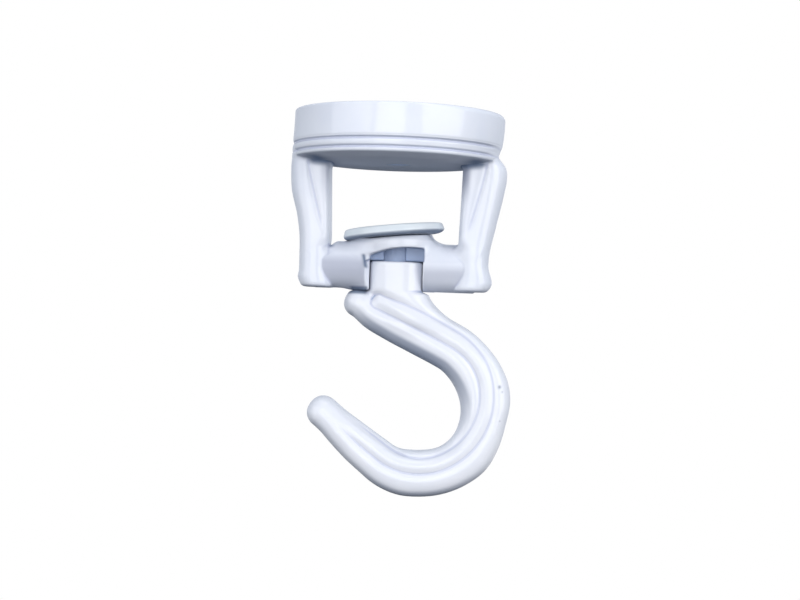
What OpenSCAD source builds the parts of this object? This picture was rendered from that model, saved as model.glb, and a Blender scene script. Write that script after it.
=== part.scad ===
// Swivel ceiling plant hook.
// A round ceiling plate and its two-armed stirrup carry a crossbar with a pocket.
// A steel pin hangs in the crossbar on a loose washer, and its lower end is cast into a
// ribbed S hook, which turns all the way round below the stirrup.
// Millimetres, +Z up. The origin is the centre of the plate's upper rim, which meets the ceiling.

/* [Ceiling plate] */
// Diameter of the plate
plate_d = 38; // [34:0.5:46]
// Height from the ceiling to the first groove
plate_band_h = 5.8; // [4.5:0.1:8]
// How far the band draws in at its lower edge
plate_draw = 0.3; // [0:0.05:1.2]
// Height of the bead between the two grooves
plate_bead_h = 1.4; // [1:0.1:2.4]
// Radius of the two grooves round the rim
plate_groove_r = 0.28; // [0.15:0.01:0.4]
// Height of the rounded bead below the second groove
plate_lip_h = 1.1; // [0.8:0.1:2]
// Drop of the underside below the lip
plate_belly_h = 0.9; // [0.5:0.1:1.6]
// Wall round the hollow upper side
plate_wall = 2.4; // [1.6:0.1:3.2]
// Floor under the hollow upper side
plate_floor = 2.6; // [1.8:0.1:3.4]
// Diameter of the centre boss that takes the ceiling screw
plate_boss_d = 10; // [8:0.5:13]
// Diameter of the screw hole, number 8-32 thread core
screw_hole_d = 3.5; // [3:0.1:5]
// How far the rim steps in at the bead
bead_in = 0.1; // [0:0.05:0.3]
// How far the rim steps in at the lip
lip_in = 0.5; // [0.3:0.05:1]
// Width of the rounded edge of the underside
belly_edge = 2.1; // [1:0.1:3]

/* [Stirrup] */
// Clear width between the arms
window_w = 23.7; // [21:0.1:27]
// How far the window stands to the left of the swivel axis
window_shift = 0.4; // [0:0.05:0.6]
// How far the outer faces of the arms stand to the right
arms_shift = 0.15; // [0:0.05:0.4]
// Width of an arm at its shoulder
arm_shoulder_w = 7.7; // [6:0.1:8.6]
// Width of an arm at its waist
arm_waist_w = 5.25; // [4.4:0.05:6]
// Width of an arm at its foot
arm_foot_w = 5.8; // [4.6:0.1:6.6]
// Depth of an arm at its shoulder, front to back
arm_shoulder_t = 10; // [8:0.1:12]
// Depth of an arm at its foot, front to back
arm_foot_t = 9.2; // [8:0.1:11]
// How far an arm tapers in above its shoulder
arm_crown_in = 1.1; // [0.6:0.1:1.6]
// How far below the plate an arm's shoulder lies
shoulder_drop = 1.6; // [1:0.1:2.4]
// Height of an arm's waist over the crossbar's axis
waist_rise = 1.7; // [1:0.1:2.5]
// Height over which an arm tapers in above its shoulder
arm_crown_h = 4.4; // [3:0.1:5]
// How far the toe of an arm reaches in under the crossbar
arm_toe = 1.0; // [0:0.1:1.4]
// How far an arm's foot drops short of the crossbar's underside
foot_lift = 0.15; // [0.1:0.05:0.5]
// Depth of the crease down the face of an arm
arm_crease = 0.3; // [0:0.05:0.5]
// Distance of the crease from the window at its lower end
crease_low = 1.3; // [1:0.1:2]
// Distance of the crease from the window at the shoulder
crease_high = 3.8; // [3:0.1:4.5]
// Height over the crossbar's axis at which the crease starts
crease_rise = 5.5; // [4.5:0.1:8]
// Drop from the ceiling to the crossbar's axis
crossbar_drop = 27.5; // [26:0.1:32]
// Diameter of the round crossbar
crossbar_d = 8.4; // [7.6:0.1:9.6]
// How far the crossbar reaches into each arm
crossbar_in = 2; // [1:0.1:3]

/* [Swivel] */
// Diameter of the boss that carries the washer
boss_d = 13.4; // [12.6:0.1:15]
// Height of the washer's seat above the top of the crossbar
seat_rise = 1.0; // [0.9:0.05:2]
// Lean of the washer's seat, falling to the left
seat_lean = 5; // [0:0.5:6]
// Thickness of metal over the pocket at its crown
roof_t = 1.95; // [1.6:0.05:3]
// Diameter of the swivel pin
pin_d = 5; // [4:0.1:5.6]
// Radial running clearance of the pin in the boss
pin_play = 0.08; // [0.02:0.01:0.1]
// Diameter of the pin's countersunk head
pin_head_d = 7.2; // [6.4:0.1:7.6]
// Height of the pin's countersunk head
pin_head_h = 1.05; // [0.8:0.05:1.2]
// How far the pin's head lies below the face of the washer
pin_sunk = 0.1; // [0.05:0.05:0.3]
// Length of the pin that is cast into the neck
pin_root = 7.4; // [6:0.1:9]
// How far the collar on the pin's root stands out
collar_out = 0.9; // [0.5:0.1:1.2]
// Height of the collar on the pin's root
collar_h = 1.2; // [0.8:0.1:2]
// Diameter of the washer
washer_d = 18; // [15:0.1:20]
// Thickness of the washer
washer_t = 1.8; // [1.5:0.1:2.4]
// Lean of the washer as it lies on its seat
washer_lean = 7; // [5:0.5:8]
// Gap between the washer and the edge of its seat
washer_gap = 0.12; // [0.1:0.01:0.3]
// Radial play of the washer on the pin
washer_play = 0.5; // [0.45:0.05:0.7]
// Radial play of the pin's head in the washer's countersink
sink_play = 1.0; // [0.9:0.05:1.4]
// Depth of the washer's countersink
sink_depth = 1.2; // [1:0.05:1.4]

/* [Hook] */
// Diameter of the round neck
neck_d = 9.5; // [8.6:0.1:10.4]
// Radial clearance of the neck in its pocket
neck_play = 0.3; // [0.25:0.05:0.6]
// Gap over the neck at the crown of the pocket
neck_headroom = 2.5; // [2:0.1:3.5]
// Gap between the crossbar and the shoulder of the hook
shoulder_gap = 0.45; // [0.35:0.05:0.8]
// Radius of the bowl along the middle of the bar
bowl_r = 11.9; // [10.5:0.1:13.5]
// Distance of the bowl's centre to the right of the swivel axis
bowl_x = 5.4; // [4:0.1:7]
// Drop of the bowl's centre below the crossbar's axis
bowl_drop = 24.9; // [24.5:0.1:30]
// Slope of the straight bar that runs down from the heel
shank_slope = 25.5; // [20:0.5:32]
// Slope of the straight arm that runs up to the tip
tip_slope = 34.9; // [25:0.1:45]
// Length of the straight arm that runs up to the tip
tip_len = 13.5; // [9:0.1:17]
// Width of the bar at the heel
heel_w = 5.9; // [5:0.1:7]
// Length over which the bar grows from the heel to its full width
heel_run = 7; // [5:0.5:9]
// Width of the bar on the bend
bar_w = 8.9; // [7.5:0.1:10]
// Width of the bar at the bottom of the bowl
bowl_w = 8.5; // [7:0.1:9.5]
// How far the bar stands out of its line at the bottom of the bowl
bowl_out = 0.35; // [0:0.05:0.6]
// Width of the rounded tip
tip_w = 6.2; // [5:0.1:7.5]
// Length over which the tip keeps its width
tip_run = 3; // [2:0.5:5]
// Depth of the bar, front to back
bar_t = 7.4; // [6:0.1:8.4]
// Depth of the grooves between the three ribs
rib_depth = 0.5; // [0.2:0.05:0.6]
// Width of the middle rib
rib_w = 2.8; // [2.2:0.1:3.2]
// How far the middle rib stands to the outer side on the shank
rib_high = 1.5; // [0:0.1:1.8]
// How far the middle rib stands to the inner side in the bowl
rib_low = 1.2; // [0:0.1:1.4]
// Width of a groove from its middle to its edge
groove_w = 0.7; // [0.4:0.05:0.9]

/* [Hidden] */
white = [0.88, 0.90, 0.94];
steel = [0.62, 0.64, 0.67];
eps = 0.01;
over = 1;
turn = 360;

// Levels of the ceiling plate, measured down from the ceiling.
plate_r = plate_d / 2;
groove_1 = plate_band_h;
groove_2 = groove_1 + plate_bead_h;
lip_low = groove_2 + plate_lip_h;
plate_h = lip_low + plate_belly_h;
rim_r = plate_r - plate_draw;
lip_r = rim_r - lip_in;
belly_r = lip_r - belly_edge;
hollow_h = plate_h - plate_floor;

// Levels of the stirrup.
bar_z = -crossbar_drop;
bar_r = crossbar_d / 2;
seat_z = bar_z + bar_r + seat_rise;
arm_in = window_w / 2;
foot_z = bar_z - bar_r + foot_lift;

// The pocket's roof is an arch, higher on the right of the axis.
neck_r = neck_d / 2;
pocket_r = neck_r + neck_play;
roof_z = seat_z - roof_t;
roof_shift = 2.6;
roof_r = 21;
neck_top = roof_z - neck_headroom;
shoulder_z = bar_z - bar_r - shoulder_gap;

// The washer rests on the low edge of its seat and clears it by washer_gap.
seat_slope = tan(washer_lean) - tan(seat_lean);
washer_low = seat_z + washer_gap + boss_d / 2 * max(0, seat_slope);
washer_mid = washer_low + washer_t / 2 / cos(washer_lean);
washer_bore_r = pin_d / 2 + washer_play;
sink_r = pin_head_d / 2 + sink_play;
head_top = washer_mid + washer_t / 2 - pin_sunk;
pin_low = neck_top - pin_root;

// The hook's middle line: a straight shank, one long arc and a straight tip.
bowl_z = bar_z - bowl_drop;
arc_from = shank_slope - turn / 4;
arc_to = turn / 4 + tip_slope;
arc_len = bowl_r * (arc_to - arc_from) * PI / 180;
shank_len = 18.2;
path_len = shank_len + arc_len + tip_len;

function lerp(a, b, t) = a + (b - a) * t;
function ease(t) = let (c = max(0, min(1, t))) c * c * (3 - 2 * c);
function blend(a, b, from, to, x) = lerp(a, b, ease((x - from) / (to - from)));
function dent(x, width) = exp(-pow(x / width, 2));
function sgn_pow(x, p) = sign(x) * pow(abs(x), p);

// Where the bowl's arc stands at the angle a, measured clockwise from +X.
function bowl_point(a) = [bowl_x + bowl_r * cos(a), bowl_z - bowl_r * sin(a)];

// Point [x, z] of the middle line at the distance s from the heel.
function path_point(s) =
    s < shank_len ? let (p = bowl_point(arc_from), back = s - shank_len)
        [p[0] + back * cos(shank_slope), p[1] - back * sin(shank_slope)]
    : s < shank_len + arc_len ? bowl_point(arc_from + (s - shank_len) / bowl_r * 180 / PI)
    : let (p = bowl_point(arc_to), on = s - shank_len - arc_len)
        [p[0] - on * cos(tip_slope), p[1] + on * sin(tip_slope)];

// Direction of the line at s, as the angle below +X.
function path_angle(s) =
    s < shank_len ? shank_slope
    : s < shank_len + arc_len ? shank_slope + (s - shank_len) / bowl_r * 180 / PI
    : arc_to + turn / 4;

// Half the bar's width along the line.
bend_s = shank_len + bowl_r * (0 - arc_from) * PI / 180;
bowl_s = shank_len + bowl_r * (turn / 4 - arc_from) * PI / 180;
function half_width(s) =
    s < heel_run ? blend(heel_w / 2, bar_w / 2, 0, heel_run, s)
    : s < bend_s ? bar_w / 2
    : s < bowl_s ? blend(bar_w / 2, bowl_w / 2, bend_s, bowl_s, s)
    : blend(bowl_w / 2, tip_w / 2, bowl_s, path_len - tip_run, s);

// How far the middle of the bar stands out of its line.
function stand_out(s) = bowl_out * ease((s - bend_s) / (bowl_s - bend_s)) * ease((path_len - s) / (path_len - bowl_s));

// Where the middle rib runs: towards the outer side on the shank and the inner side in the bowl.
function rib_mid(s) = blend(rib_high, -rib_low, shank_len, bowl_s - heel_run, s);

// Half the bar's depth: round at the tip, fuller on the bend.
function half_depth(s) = s < bowl_s ? blend(heel_w / 2, bar_t / 2, 0, heel_run, s)
    : blend(bar_t / 2, tip_w / 2, bowl_s, path_len - tip_run, s);

// How strong the ribs are along the line: they fade out at both ends.
function rib_fade(s) = ease((s - 3.5) / 3) * ease((path_len - tip_run - s) / 6);

// One ring of the ribbed bar, shrunk by k on the rounded ends.
ring_n = 44;
function bar_ring(s, k, reach) =
    let (
        p = path_point(s),
        a = path_angle(s),
        w = half_width(s) * k,
        d = half_depth(s) * k,
        g = rib_depth * rib_fade(s) * k
    )
    [for (i = [0:ring_n - 1])
        let (
            t = turn * i / ring_n,
            across = stand_out(s) + w * sgn_pow(cos(t), 0.9),
            plain = d * sgn_pow(sin(t), 0.86),
            off = across - rib_mid(s),
            cut = g * (dent(off - rib_w / 2, groove_w) + dent(off + rib_w / 2, groove_w)),
            deep = plain - sign(plain) * min(abs(plain) * 0.6, cut)
        )
        [p[0] + reach * cos(a) + across * sin(a), deep, p[1] - reach * sin(a) + across * cos(a)]];

// Joins rings of equal count into one closed skin, with a fan of faces over each end.
module skin(rings) {
    n = len(rings[0]);
    last = len(rings) - 1;
    mids = [for (r = [rings[0], rings[last]]) [for (k = [0:2]) (r[0][k] + r[floor(n / 2)][k]) / 2]];
    sides = [for (r = [0:last - 1], i = [0:n - 1])
        let (j = (i + 1) % n)
        each [[r * n + i, r * n + j, (r + 1) * n + j], [r * n + i, (r + 1) * n + j, (r + 1) * n + i]]];
    near_end = [for (i = [0:n - 1]) [(i + 1) % n, i, (last + 1) * n]];
    far_end = [for (i = [0:n - 1]) [last * n + i, last * n + (i + 1) % n, (last + 1) * n + 1]];
    polyhedron(points = concat([for (r = rings) each r], mids), faces = concat(sides, near_end, far_end));
}

// The swept bar of the hook, with a rounded heel and a rounded tip.
module ribbed_bar() {
    heel = [for (q = [78, 62, 45, 28, 12]) bar_ring(0, cos(q), -heel_w / 2 * sin(q))];
    body = [for (i = [0:54]) bar_ring(path_len * i / 54, 1, 0)];
    tip = [for (q = [12, 28, 45, 62, 78]) bar_ring(path_len, cos(q), tip_w / 2 * sin(q))];
    skin(concat(heel, body, tip));
}

// Profile of the ceiling plate, drawn on one side of its axis.
module plate_profile() {
    bow = [for (i = [0:6]) [plate_r - plate_draw * pow(i / 6, 2), -groove_1 * i / 6]];
    difference() {
        polygon(concat([[0, 0]], bow, [
            [rim_r - bead_in, -groove_2],
            [lip_r, -lip_low],
            [belly_r, -plate_h],
            [0, -plate_h],
        ]));
        for (z = [-groove_1, -groove_2])
            translate([rim_r + 0.02, z]) circle(r = plate_groove_r, $fn = 20);
    }
}

module ceiling_plate() {
    color(white) difference() {
        rotate_extrude($fn = 96) plate_profile();
        difference() {
            translate([0, 0, -hollow_h]) cylinder(r = plate_r - plate_wall, h = hollow_h + over, $fn = 96);
            translate([0, 0, -plate_h]) cylinder(d = plate_boss_d, h = plate_h, $fn = 48);
        }
        translate([0, 0, -plate_h - over]) cylinder(d = screw_hole_d, h = plate_h + 2 * over, $fn = 32);
    }
}

// The space that the plate fills, which the arms are cut to.
module plate_space() {
    rotate_extrude($fn = 96) polygon([
        [0, -groove_1],
        [rim_r, -groove_1],
        [rim_r - bead_in, -groove_2],
        [lip_r, -lip_low],
        [belly_r, -plate_h],
        [0, -plate_h],
    ]);
}

// Outer face of the right arm at the height z.
shoulder_z_top = -plate_h - shoulder_drop;
waist_z = bar_z + waist_rise;
function arm_width(z) =
    z > shoulder_z_top ? blend(arm_shoulder_w, arm_shoulder_w - arm_crown_in, shoulder_z_top, shoulder_z_top + arm_crown_h, z)
    : z > waist_z ? blend(arm_waist_w, arm_shoulder_w, waist_z, shoulder_z_top, z)
    : blend(arm_foot_w, arm_waist_w, foot_z + 1.4, waist_z, z);
function arm_inner(z) = arm_in - blend(arm_toe, 0, foot_z + 0.6, bar_z + 1, z);
function arm_depth(z) = blend(arm_foot_t, arm_shoulder_t, waist_z, shoulder_z_top, z);

// One level ring of an arm, shrunk by k on the rounded foot. The side is 1 on the right, -1 on the left.
arm_n = 36;
function arm_ring(z, k, side) =
    let (
        inner = arm_inner(z) - side * window_shift,
        outer = arm_in + arm_width(z) + side * arms_shift,
        d = arm_depth(z) / 2 - (1 - k),
        mid = (inner + outer) / 2,
        half = (outer - inner) / 2 - (1 - k),
        line = arm_in - side * window_shift + blend(crease_low, crease_high, bar_z + crease_rise, shoulder_z_top, z),
        g = arm_crease * ease((z - bar_z - crease_rise + 1) / 4) * ease((-plate_h - 0.6 - z) / 2)
    )
    [for (i = [0:arm_n - 1])
        let (
            t = turn * i / arm_n,
            x = mid + half * sgn_pow(cos(t), cos(t) < 0 ? 0.62 : 0.95),
            plain = d * sgn_pow(sin(t), 0.72),
            y = plain - sign(plain) * min(abs(plain) * 0.5, g * dent(x - line, 0.7))
        )
        [x, y, z]];

module arm(side) {
    foot = [for (q = [80, 60, 40, 20]) arm_ring(foot_z + 1 - sin(q), cos(q), side)];
    rise = [for (i = [0:22]) arm_ring(lerp(foot_z + 1, -plate_band_h - 1, i / 22), 1, side)];
    skin([for (r = concat(foot, rise)) [for (i = [len(r) - 1:-1:0]) r[i]]]);
}

// The boss over the pocket narrows towards the crossbar, and its back wall goes full depth.
module boss() {
    top_z = seat_z + boss_d / 2 * tan(seat_lean) + 1;
    low_z = roof_z - 1.5;
    difference() {
        union() {
            translate([0, 0, low_z]) cylinder(r1 = pocket_r + 0.4, r2 = boss_d / 2, h = seat_z - 1 - low_z, $fn = 64);
            translate([0, 0, seat_z - 1 - eps]) cylinder(d = boss_d, h = top_z - seat_z + 1, $fn = 64);
            intersection() {
                translate([0, 0, bar_z - bar_r]) cylinder(d = boss_d, h = seat_z - bar_z + bar_r - 1, $fn = 64);
                translate([-boss_d, 0, bar_z - bar_r - 1]) cube([2 * boss_d, boss_d, crossbar_d * 3]);
            }
        }
        translate([0, 0, seat_z]) rotate([0, -seat_lean, 0])
            translate([-boss_d, -boss_d, 0]) cube([2 * boss_d, 2 * boss_d, crossbar_d]);
    }
}

// The pocket is open to the front and below, round at the back, with an arched roof.
module pocket() {
    low_z = bar_z - bar_r - 1;
    intersection() {
        union() {
            translate([0, 0, low_z]) cylinder(r = pocket_r, h = crossbar_d * 2, $fn = 64);
            translate([-pocket_r, -boss_d, low_z]) cube([2 * pocket_r, boss_d, crossbar_d * 2]);
        }
        translate([roof_shift, 0, roof_z - roof_r]) rotate([90, 0, 0])
            cylinder(r = roof_r, h = 4 * boss_d, center = true, $fn = 180);
    }
}

module stirrup() {
    color(white) difference() {
        union() {
            arm(1);
            mirror([1, 0, 0]) arm(-1);
            translate([-arm_in - crossbar_in, 0, bar_z]) rotate([0, 90, 0])
                cylinder(r = bar_r, h = window_w + 2 * crossbar_in, $fn = 64);
            boss();
        }
        pocket();
        translate([0, 0, neck_top]) cylinder(r = pin_d / 2 + pin_play, h = seat_z - neck_top + boss_d, $fn = 48);
        plate_space();
    }
}

// The pin's body, also taken out of the hook where it is cast in.
module pin_body(top) {
    translate([0, 0, pin_low]) cylinder(d = pin_d, h = top - pin_low, $fn = 48);
    translate([0, 0, pin_low]) cylinder(d = pin_d + 2 * collar_out, h = collar_h, $fn = 48);
}

module swivel_pin() {
    color(steel) {
        pin_body(head_top - pin_head_h + eps);
        translate([0, 0, head_top - pin_head_h]) cylinder(d1 = pin_d, d2 = pin_head_d, h = pin_head_h, $fn = 48);
    }
}

module swivel_washer() {
    rim = washer_t * 0.48;
    flat_r = washer_d / 2 - rim;
    color(white) translate([0, 0, washer_mid]) rotate([0, -washer_lean, 0]) difference() {
        rotate_extrude($fn = 96) {
            translate([0, -washer_t / 2]) square([flat_r, washer_t]);
            intersection() {
                translate([flat_r, 0]) scale([rim, washer_t / 2]) circle(r = 1, $fn = 32);
                translate([0, -washer_t]) square([washer_d, 2 * washer_t]);
            }
        }
        cylinder(r = washer_bore_r, h = 2 * washer_t, center = true, $fn = 48);
        translate([0, 0, washer_t / 2 - sink_depth])
            cylinder(r1 = washer_bore_r, r2 = sink_r, h = sink_depth, $fn = 48);
        translate([0, 0, washer_t / 2 - eps]) cylinder(r = sink_r, h = washer_t, $fn = 48);
    }
}

// One level ring of the flare between the neck and the bar, from x = left to x = right.
function flare_ring(z, left, right, deep) = [for (i = [0:ring_n - 1])
    let (t = turn * i / ring_n)
    [(left + right) / 2 + (right - left) / 2 * cos(t), deep * sin(t), z]];

// The neck is round in the pocket and flares into the bar below the stirrup.
module neck() {
    edge = 0.35;
    out = neck_r + 0.12;
    translate([0, 0, shoulder_z - 0.3]) cylinder(r = neck_r, h = neck_top - edge - shoulder_z + 0.3, $fn = 64);
    translate([0, 0, neck_top - edge]) cylinder(r1 = neck_r, r2 = neck_r - edge, h = edge, $fn = 64);
    skin([for (q = [
        [0.45, -0.4, -0.4, -0.4],
        [-0.05, 0, 0.3, 0],
        [-0.35, 0, 0.75, 0],
        [-1.0, 0, 1.25, -0.05],
        [-1.9, 0, 1.75, -0.3],
        [-2.7, -0.2, 2.4, -0.7],
        [-3.6, -0.8, 3.3, -1.1],
        [-4.8, -2.0, 4.8, -1.6],
    ]) flare_ring(shoulder_z + q[0], -out - q[1], out + q[2], out + q[3])]);
}

module hook() {
    color(white) difference() {
        union() {
            difference() {
                ribbed_bar();
                translate([-plate_r, -plate_r, shoulder_z]) cube([plate_d, plate_d, plate_r]);
            }
            neck();
        }
        pin_body(seat_z);
    }
}

ceiling_plate();
stirrup();
swivel_pin();
swivel_washer();
hook();
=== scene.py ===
"""A white swivel ceiling plant hook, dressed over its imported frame.

All shapes are worked out in millimetres with numpy and go into the meshes in metres. The origin
is the middle of the plate's ceiling face, +Z points up along the swivel axis, +X to the side of
the hook's bend and -Y to the open front of the pocket.

The plate, the washer and the pin are profiles carried round an axis. The stirrup and the hook,
whose forms melt into each other under their enamel, are level surfaces of a field, which is a
sum of simple solids with soft joints between them.
"""
import math

import bpy
import numpy as np
from mathutils import Matrix, Vector


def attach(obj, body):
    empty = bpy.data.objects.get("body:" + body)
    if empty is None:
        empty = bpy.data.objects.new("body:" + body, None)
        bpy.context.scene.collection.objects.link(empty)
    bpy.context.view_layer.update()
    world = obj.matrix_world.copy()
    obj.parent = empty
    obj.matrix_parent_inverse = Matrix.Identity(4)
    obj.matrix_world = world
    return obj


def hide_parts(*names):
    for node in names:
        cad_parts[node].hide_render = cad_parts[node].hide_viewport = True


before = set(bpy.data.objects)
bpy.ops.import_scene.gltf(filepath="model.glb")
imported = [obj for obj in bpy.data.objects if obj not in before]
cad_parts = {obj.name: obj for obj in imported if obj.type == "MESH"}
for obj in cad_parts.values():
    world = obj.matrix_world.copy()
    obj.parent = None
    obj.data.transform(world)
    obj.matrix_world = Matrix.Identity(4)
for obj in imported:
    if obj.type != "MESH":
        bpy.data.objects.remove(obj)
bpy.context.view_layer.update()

MM = 0.001

# Sizes in millimetres and degrees, close to those of the frame. The two grooves and the names
# in _Z, _TOP, _LOW and _MID are heights.

# Plate: the upper rim, the band's lower edge, the lip, the flat underside, the grooves, the wall
# with the hollow inside it, and the screw hole with the boss round it.
PLATE_R = 19.0
PLATE_H = 9.2
RIM_R = 18.85
LIP_R = 18.25
BELLY_R = 16.1
GROOVE_1 = -6.12
GROOVE_2 = -7.6
GROOVE_W = 0.26
WALL = 2.4
HOLLOW_H = 6.6
SCREW_R = 1.75
THREAD_PITCH = 0.794
CENTRE_BOSS_R = 5.0

# Stirrup: the crossbar, the boss with its leaning seat, the pocket with its arched roof, its
# walls over the neck, its radius beside the neck and its ledge, and the arms' roots, which begin
# at JOIN_Z and reach ROOT_DEPTH into the plate.
BAR_Z = -27.54
BAR_R = 4.26
BAR_END = 14.3
SEAT_Z = -22.3
SEAT_LEAN = 6.3
BOSS_R = 6.6
ROOF_Z = -24.15
ROOF_SHIFT = 3.2
ROOF_R = 18.2
LEFT_WALL = 4.3
RIGHT_WALL = 5.3
POCKET_R = 5.12
LEDGE_Y = 1.75
LEDGE_Z = -26.6
UNDERSIDE_Z = -31.8
JOIN_Z = -13.0
ROOT_DEPTH = 0.7
ROOT_TOP = -5.75

# Pin and washer.
PIN_R = 2.5
PIN_HOLE_R = 2.55
PIN_HEAD_R = 3.6
PIN_HEAD_H = 1.05
PIN_LOW = -34.15
COLLAR_OUT = 0.88
HEAD_TOP = -20.237
WASHER_X = -0.4
WASHER_MID = -21.237
WASHER_R = 9.1
WASHER_T = 1.8
WASHER_LEAN = 6.6
WASHER_BORE_R = 3.0
SINK_R = 4.6
SINK_DEPTH = 1.2

# Hook: the neck, the level cut under the stirrup, and the middle line of the bar, which is a
# straight shank, an arc round (BOWL_X, BOWL_Z) and a straight arm. The caps are the lengths of
# the rounded ends.
NECK_R = 4.75
NECK_X = 0.3
NECK_TOP = -26.75
NECK_LOW = -37.6
NECK_FLAT = 0.8
CUT_Z = -32.0
SHANK_SLOPE = 25.5
TIP_SLOPE = 34.9
SHANK_LEN = 18.2
HOOK_END = 70.6
HEEL_CAP = 2.75
TIP_CAP = 3.05
BOWL_R = 11.9
BOWL_X = 5.4
BOWL_Z = -52.4
RIB_CUT = 0.45
RIB_REACH = 1.5

# Steps round each turned piece, and the grid cell of the level surfaces.
PLATE_STEPS = 320
WASHER_STEPS = 240
PIN_STEPS = 120
CELL = 0.19


# Small tools for arrays.

def ease(t):
    """0 below 0, 1 above 1, and the smooth cubic 3t^2 - 2t^3 between."""
    t = np.clip(t, 0.0, 1.0)
    return t * t * (3.0 - 2.0 * t)


def soft_min(a, b, k):
    """The smaller of two distances, less a quarter of k where they are equal, so that the two
    solids meet in a fillet about k wide."""
    h = np.maximum(k - np.abs(a - b), 0.0) / k
    return np.minimum(a, b) - h * h * k * 0.25


def soft_max(a, b, k):
    """The larger of two distances with its edge rounded, the mirror image of soft_min."""
    return -soft_min(-a, -b, k)


def smooth_line(stations):
    """A function through [place, value] pairs: cubic between neighbours, with the slope at each
    pair taken from the pairs on both sides of it."""
    at, value = np.array(stations, float).T
    slope = np.gradient(value, at)

    def read(x):
        x = np.clip(x, at[0], at[-1])
        i = np.clip(np.searchsorted(at, x) - 1, 0, len(at) - 2)
        step = at[i + 1] - at[i]
        t = (x - at[i]) / step
        return ((2 * t**3 - 3 * t**2 + 1) * value[i] + (t**3 - 2 * t**2 + t) * step * slope[i]
                + (3 * t**2 - 2 * t**3) * value[i + 1] + (t**3 - t**2) * step * slope[i + 1])
    return read


def oval(across, deep, half_w, half_d, power):
    """Distance to a rounded oval section: the point's distance from the middle, times one less
    the share of it at which the ray leaves the oval |across/half_w|^p + |deep/half_d|^p = 1."""
    share = (np.abs(across / half_w) ** power + np.abs(deep / half_d) ** power) ** (1.0 / power)
    share = np.maximum(share, 1e-6)
    return np.hypot(across, deep) * (1.0 - 1.0 / share)


# Meshes.

def add_mesh(name, points, faces, marks=None):
    """Puts points in millimetres and one or more arrays of quads or triangles into a smooth-shaded mesh,
    in metres. The marks given say for each point how much painted shade lies in a hollow there, how grey
    and shaded it is, and how much painted shadow darkens it."""
    points = np.asarray(points, float) * MM
    blocks = [np.asarray(block, np.int32) for block in faces]
    corners = np.concatenate([block.ravel() for block in blocks])
    counts = np.concatenate([np.full(len(block), block.shape[1], np.int32) for block in blocks])
    mesh = bpy.data.meshes.new(name)
    mesh.vertices.add(len(points))
    mesh.vertices.foreach_set("co", points.astype(np.float32).ravel())
    mesh.loops.add(len(corners))
    mesh.loops.foreach_set("vertex_index", corners)
    mesh.polygons.add(len(counts))
    mesh.polygons.foreach_set("loop_start", (np.cumsum(counts) - counts).astype(np.int32))
    mesh.polygons.foreach_set("loop_total", counts)
    mesh.polygons.foreach_set("use_smooth", np.ones(len(counts), bool))
    for key, values in (marks or {}).items():
        layer = mesh.attributes.new(key, "FLOAT", "POINT")
        layer.data.foreach_set("value", np.asarray(values, np.float32))
    mesh.update(calc_edges=True)
    mesh.validate()
    thing = bpy.data.objects.new(name, mesh)
    bpy.context.scene.collection.objects.link(thing)
    return thing


def grid_quads(rows, columns, loop):
    """Quads of a grid that closes on itself along its columns, and along its rows too if it is
    a loop, such as a ring carried round an axis."""
    r, c = np.meshgrid(np.arange(rows if loop else rows - 1), np.arange(columns), indexing="ij")
    here, right = r * columns + c, r * columns + (c + 1) % columns
    up, up_right = ((r + 1) % rows) * columns + c, ((r + 1) % rows) * columns + (c + 1) % columns
    return np.stack([here, right, up_right, up], -1).reshape(-1, 4)


def turned(profile, around, ripple=None, poles=None):
    """A profile of [radius, height] points carried round +Z: the point at the angle a is
    (radius cos a, radius sin a, height). Returns points and faces. The profile runs clockwise,
    seen with the radius to the right, so that the faces look outwards. It closes on itself,
    or else ends in a fan of triangles round a pole on the axis at each of the two heights."""
    profile = np.asarray(profile, float)
    a = np.linspace(0, 2 * np.pi, around, endpoint=False)
    r, h = profile[:, :1], profile[:, 1:]
    if ripple is not None:
        r, h = ripple(r + 0 * a, h + 0 * a, a[None, :] + 0 * r)
    points = np.stack([r * np.cos(a), r * np.sin(a), h + 0 * a], -1).reshape(-1, 3)
    quads = grid_quads(len(profile), around, poles is None)[:, ::-1]
    if poles is None:
        return points, [quads]
    first, last = np.arange(around), np.arange(around) + len(points) - around
    top, foot = np.full(around, len(points)), np.full(around, len(points) + 1)
    points = np.concatenate([points, [[0.0, 0.0, poles[0]], [0.0, 0.0, poles[1]]]])
    cover = np.stack([top, first, np.roll(first, -1)], -1)
    base = np.stack([foot, np.roll(last, -1), last], -1)
    return points, [quads, cover, base]


def stretch(start, end, count):
    """Evenly spaced points of a straight line, with both ends."""
    t = np.linspace(0.0, 1.0, count)[:, None]
    return np.array(start, float) * (1.0 - t) + np.array(end, float) * t


def bend(centre, radius, start, end, count):
    """Points of an arc, with angles in degrees from the outward direction towards +Z."""
    a = np.radians(np.linspace(start, end, count))
    return np.stack([centre[0] + radius * np.cos(a), centre[1] + radius * np.sin(a)], -1)


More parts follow.
